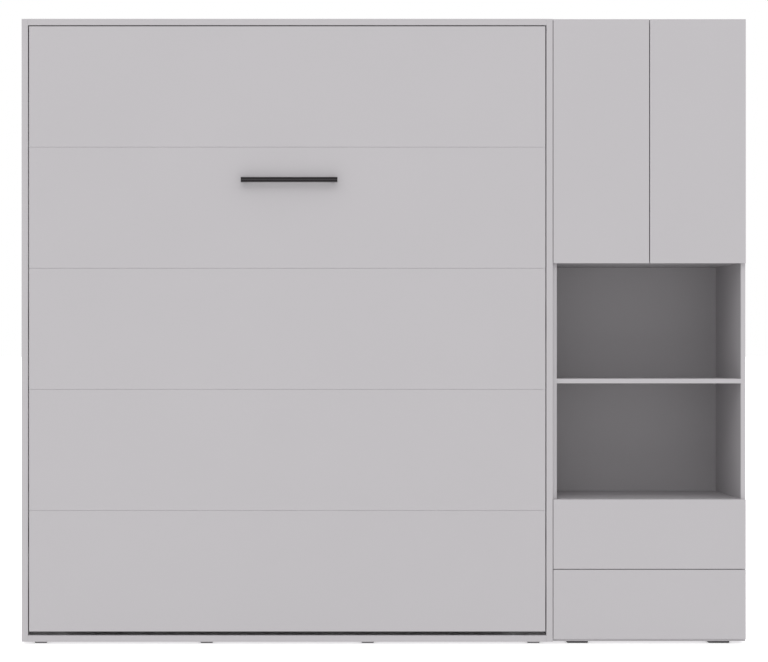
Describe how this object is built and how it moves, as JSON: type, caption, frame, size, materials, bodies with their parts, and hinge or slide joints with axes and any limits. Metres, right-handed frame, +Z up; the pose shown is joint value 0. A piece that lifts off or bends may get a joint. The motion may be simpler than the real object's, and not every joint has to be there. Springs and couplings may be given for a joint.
{
  "type": "cabinet bed",
  "caption": "Tall cabinet with a double bed that folds down behind a boarded front, beside a narrow storage unit with doors, open bays and drawers.",
  "frame": {"origin": "on the floor, under the middle of the whole object's width and depth", "axes": "+X to the object's right as seen from the front, +Y towards the wall, +Z up; the fronts face -Y"},
  "size_m": [2.527, 0.492, 2.18],
  "materials": {
    "laminate": "satin",
    "foot_plastic": "matte",
    "zinc_steel": "satin",
    "frame_steel": "satin",
    "hoop_steel": "satin",
    "pad_rubber": "matte",
    "handle_metal": "satin",
    "slat_wood": "satin",
    "holder_plastic": "matte",
    "mattress_fabric": "matte",
    "strut_paint": "satin",
    "strut_chrome": "polished",
    "latch_plastic": "matte"
  },
  "bodies": {
    "cabinet": {"bed_side_left": "laminate", "bed_side_right": "laminate", "bed_top_board": "laminate", "bed_bottom_board": "laminate", "back_rail_top": "laminate", "back_rail_headboard": "laminate", "back_rail_bottom": "laminate", "feet": "foot_plastic", "pivot_plates": "zinc_steel", "strut_studs": "zinc_steel", "unit_side_left": "laminate", "unit_side_right": "laminate", "unit_top_board": "laminate", "unit_middle_board": "laminate", "unit_bay_shelf": "laminate", "unit_bay_floor": "laminate", "unit_bottom_board": "laminate", "unit_back_panel": "laminate", "cupboard_shelf": "laminate", "shelf_pins": "zinc_steel", "hinge_arms": "zinc_steel", "push_latches": "latch_plastic", "drawer_runners": "zinc_steel"},
    "leaf": {"leaf_board_1": "laminate", "leaf_board_2": "laminate", "leaf_board_3": "laminate", "leaf_board_4": "laminate", "leaf_board_5": "laminate", "bar_handle": "handle_metal", "frame_rail_left": "frame_steel", "frame_rail_right": "frame_steel", "frame_cross_head": "frame_steel", "frame_cross_middle": "frame_steel", "frame_cross_foot": "frame_steel", "pivot_pins": "frame_steel", "bed_slats": "slat_wood", "slat_holders": "holder_plastic", "mattress": "mattress_fabric", "leg_brackets": "frame_steel", "strut_brackets": "frame_steel"},
    "foot_hoop": {"leg_arm_left": "hoop_steel", "leg_arm_right": "hoop_steel", "leg_crossbar": "hoop_steel", "leg_pads": "pad_rubber"},
    "strut_left": {"strut_cylinder_left": "strut_paint"},
    "strut_right": {"strut_cylinder_right": "strut_paint"},
    "rod_left": {"strut_rod_left": "strut_chrome"},
    "rod_right": {"strut_rod_right": "strut_chrome"},
    "door_left": {"door_left": "laminate", "hinge_cups_left": "zinc_steel"},
    "door_right": {"door_right": "laminate", "hinge_cups_right": "zinc_steel"},
    "plunger_left": {"latch_plunger_left": "latch_plastic"},
    "plunger_right": {"latch_plunger_right": "latch_plastic"},
    "drawer_upper": {"drawer_front_upper": "laminate", "drawer_box_upper": "laminate", "drawer_slides_upper": "zinc_steel"},
    "drawer_lower": {"drawer_front_lower": "laminate", "drawer_box_lower": "laminate", "drawer_slides_lower": "zinc_steel"}
  },
  "joints": [
    {"name": "bed_fold", "type": "hinge", "parent": "cabinet", "child": "leaf", "pos_m": [-0.3375, -0.126, 0.374], "axis": [1, 0, 0], "range_deg": [0, 90], "stiffness_Nm_per_rad": 400, "springref_deg": -2.86},
    {"name": "foot_hoop_swing", "type": "hinge", "parent": "leaf", "child": "foot_hoop", "pos_m": [-0.3375, -0.114, 2.14], "axis": [1, 0, 0], "range_deg": [0, 219.97]},
    {"name": "strut_left_turn", "type": "hinge", "parent": "cabinet", "child": "strut_left", "pos_m": [-1.2035, 0.086, 0.9], "axis": [1, 0, 0], "range_deg": [0, 22.96]},
    {"name": "strut_left_stroke", "type": "slide", "parent": "strut_left", "child": "rod_left", "axis": [0, -0.2264, -0.974], "range_m": [-0.33453, 0]},
    {"name": "strut_right_turn", "type": "hinge", "parent": "cabinet", "child": "strut_right", "pos_m": [0.5285, 0.086, 0.9], "axis": [1, 0, 0], "range_deg": [0, 22.96]},
    {"name": "strut_right_stroke", "type": "slide", "parent": "strut_right", "child": "rod_right", "axis": [0, -0.2264, -0.974], "range_m": [-0.33453, 0]},
    {"name": "door_left_swing", "type": "hinge", "parent": "cabinet", "child": "door_left", "pos_m": [0.5905, -0.214, 1.328], "axis": [0, 0, -1], "range_deg": [0, 90]},
    {"name": "door_right_swing", "type": "hinge", "parent": "cabinet", "child": "door_right", "pos_m": [1.2615, -0.214, 1.328], "axis": [0, 0, 1], "range_deg": [0, 105]},
    {"name": "latch_left_press", "type": "slide", "parent": "cabinet", "child": "plunger_left", "axis": [0, 1, 0], "range_m": [0, 0.002], "stiffness_N_per_m": 400},
    {"name": "latch_right_press", "type": "slide", "parent": "cabinet", "child": "plunger_right", "axis": [0, 1, 0], "range_m": [0, 0.002], "stiffness_N_per_m": 400},
    {"name": "drawer_upper_slide", "type": "slide", "parent": "cabinet", "child": "drawer_upper", "axis": [0, -1, 0], "range_m": [0, 0.3]},
    {"name": "drawer_lower_slide", "type": "slide", "parent": "cabinet", "child": "drawer_lower", "axis": [0, -1, 0], "range_m": [0, 0.3]}
  ],
  "couplings": [
    {"joint": "foot_hoop_swing", "follows": "bed_fold", "ratio": 2.444},
    {"joint": "strut_left_turn", "follows": "bed_fold", "ratio": 0.25502},
    {"joint": "strut_right_turn", "follows": "bed_fold", "ratio": 0.25502},
    {"joint": "strut_left_stroke", "follows": "bed_fold", "m_per_rad": -0.2129},
    {"joint": "strut_right_stroke", "follows": "bed_fold", "m_per_rad": -0.2129}
  ]
}
